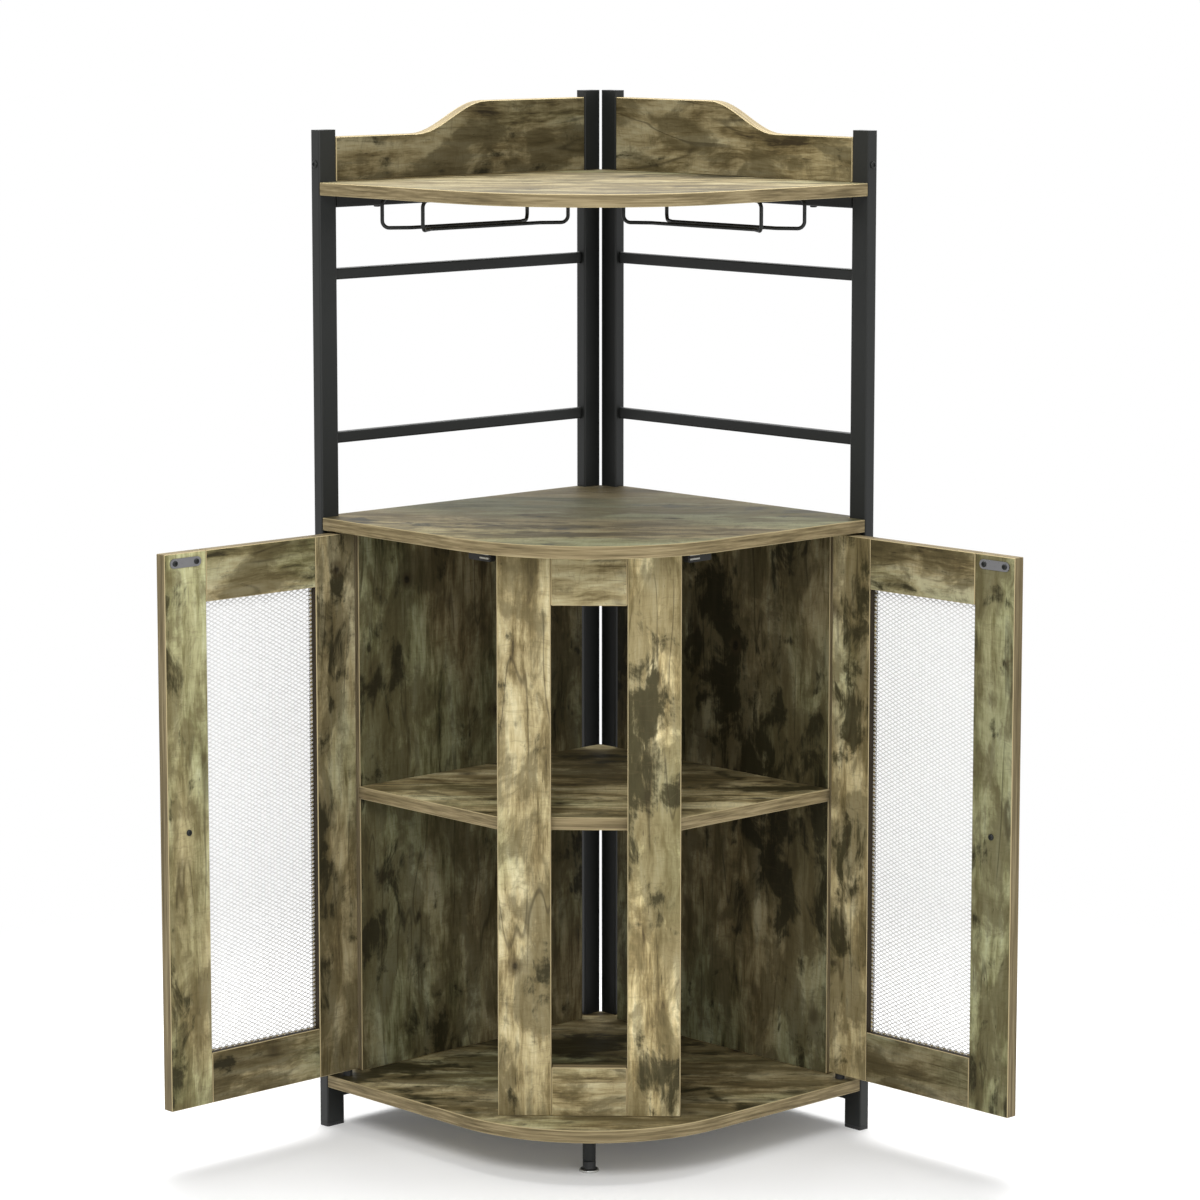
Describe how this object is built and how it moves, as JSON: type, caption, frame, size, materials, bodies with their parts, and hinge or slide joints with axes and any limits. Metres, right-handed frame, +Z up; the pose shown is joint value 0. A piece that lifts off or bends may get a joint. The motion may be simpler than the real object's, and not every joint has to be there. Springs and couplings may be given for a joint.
{
  "type": "corner bar cabinet",
  "caption": "Corner bar cabinet on black tube frames: rounded wood-look shelves, swinging mesh doors, hanging glass racks and a levelling front leg.",
  "frame": {"origin": "on the floor, in the middle of the box around the cabinet with its doors open", "axes": "+Z up; +X and +Y point at the two walls, so the room corner lies towards +X +Y"},
  "size_m": [0.771, 0.771, 1.318],
  "materials": {
    "wood": "matt rustic wood-look laminate on board",
    "black_steel": "satin black powder coat",
    "black_plastic": "moulded black plastic",
    "door_mesh": "bright diamond mesh",
    "bright_metal": "zinc plated"
  },
  "bodies": {
    "cabinet": {"backsplash_left": "wood", "backsplash_right": "wood", "base_bar_left": "black_steel", "base_bar_right": "black_steel", "base_board": "wood", "centre_bottom_rail": "wood", "centre_stile_left": "wood", "centre_stile_right": "wood", "centre_top_rail": "wood", "counter_bar_left": "black_steel", "counter_bar_right": "black_steel", "counter_board": "wood", "front_foot_cap_left": "black_plastic", "front_foot_cap_right": "black_plastic", "front_leg": "black_steel", "front_post_left": "black_steel", "front_post_right": "black_steel", "glass_rack_left": "black_steel", "glass_rack_right": "black_steel", "left_lower_pivot_bush": "black_plastic", "left_upper_pivot_bush": "black_plastic", "lower_rail_left": "black_steel", "lower_rail_right": "black_steel", "magnetic_catch_left": "bright_metal", "magnetic_catch_right": "bright_metal", "middle_shelf": "wood", "rear_foot_cap_left": "black_plastic", "rear_foot_cap_right": "black_plastic", "rear_post_left": "black_steel", "rear_post_right": "black_steel", "right_lower_pivot_bush": "black_plastic", "right_upper_pivot_bush": "black_plastic", "shelf_bar_left": "black_steel", "shelf_bar_right": "black_steel", "side_panel_left": "wood", "side_panel_right": "wood", "top_shelf": "wood", "upper_rail_left": "black_steel", "upper_rail_right": "black_steel"},
    "left_door": {"left_door_bottom_rail": "wood", "left_door_free_stile": "wood", "left_door_hinge_stile": "wood", "left_door_knob": "black_steel", "left_door_knob_screw": "black_steel", "left_door_lower_pin": "bright_metal", "left_door_mesh": "door_mesh", "left_door_strike_plate": "black_steel", "left_door_top_rail": "wood", "left_door_upper_pin": "bright_metal"},
    "right_door": {"right_door_bottom_rail": "wood", "right_door_free_stile": "wood", "right_door_hinge_stile": "wood", "right_door_knob": "black_steel", "right_door_knob_screw": "black_steel", "right_door_lower_pin": "bright_metal", "right_door_mesh": "door_mesh", "right_door_strike_plate": "black_steel", "right_door_top_rail": "wood", "right_door_upper_pin": "bright_metal"},
    "leveller": {"leveller_glide": "black_plastic"}
  },
  "joints": [
    {"name": "left_door_hinge", "type": "hinge", "parent": "cabinet", "child": "left_door", "pos_m": [-0.0955, 0.3515, 0.4], "axis": [0, 0, 1], "range_deg": [0, 90]},
    {"name": "right_door_hinge", "type": "hinge", "parent": "cabinet", "child": "right_door", "pos_m": [0.3515, -0.0955, 0.4], "axis": [0, 0, -1], "range_deg": [0, 90]},
    {"name": "leveller_screw", "type": "slide", "parent": "cabinet", "child": "leveller", "axis": [0, 0, -1], "range_m": [0, 0.01]}
  ]
}
